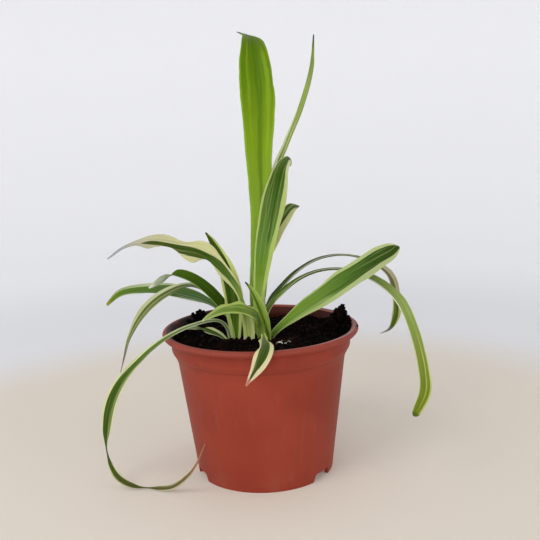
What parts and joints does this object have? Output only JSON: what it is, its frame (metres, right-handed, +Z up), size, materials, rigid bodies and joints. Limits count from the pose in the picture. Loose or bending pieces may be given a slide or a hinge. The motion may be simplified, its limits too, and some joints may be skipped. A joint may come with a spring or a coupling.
{
  "type": "potted spider plant",
  "caption": "Variegated spider plant with arching and upright strap leaves, growing in dark soil in a small terracotta-coloured plastic nursery pot.",
  "frame": {"origin": "on the ground under the middle of the pot's foot", "axes": "+Z up along the pot's axis; -Y is the front, the side the picture is taken from; +X is the right-hand side seen from the front"},
  "size_m": [0.1934, 0.1327, 0.2689],
  "materials": {
    "pot": "satin",
    "soil": "rough crumbly potting soil",
    "crown": "waxy, pale",
    "leaf": "satin leaf, green centre with cream margins"
  },
  "bodies": {
    "root": {"pot": "pot", "soil": "soil", "crown": "crown", "leaf_tall": "leaf", "leaf_centre": "leaf", "leaf_slender": "leaf", "leaf_short_back": "leaf", "leaf_left_arch": "leaf", "leaf_left_rear": "leaf", "leaf_left_dark": "leaf", "leaf_left_low": "leaf", "leaf_left_narrow": "leaf", "leaf_left_trailing": "leaf", "leaf_left_soil": "leaf", "leaf_front_arch": "leaf", "leaf_spike": "leaf", "leaf_front_drape": "leaf", "leaf_right_broad": "leaf", "leaf_right_arch": "leaf", "leaf_right_hanging": "leaf"}
  },
  "joints": []
}
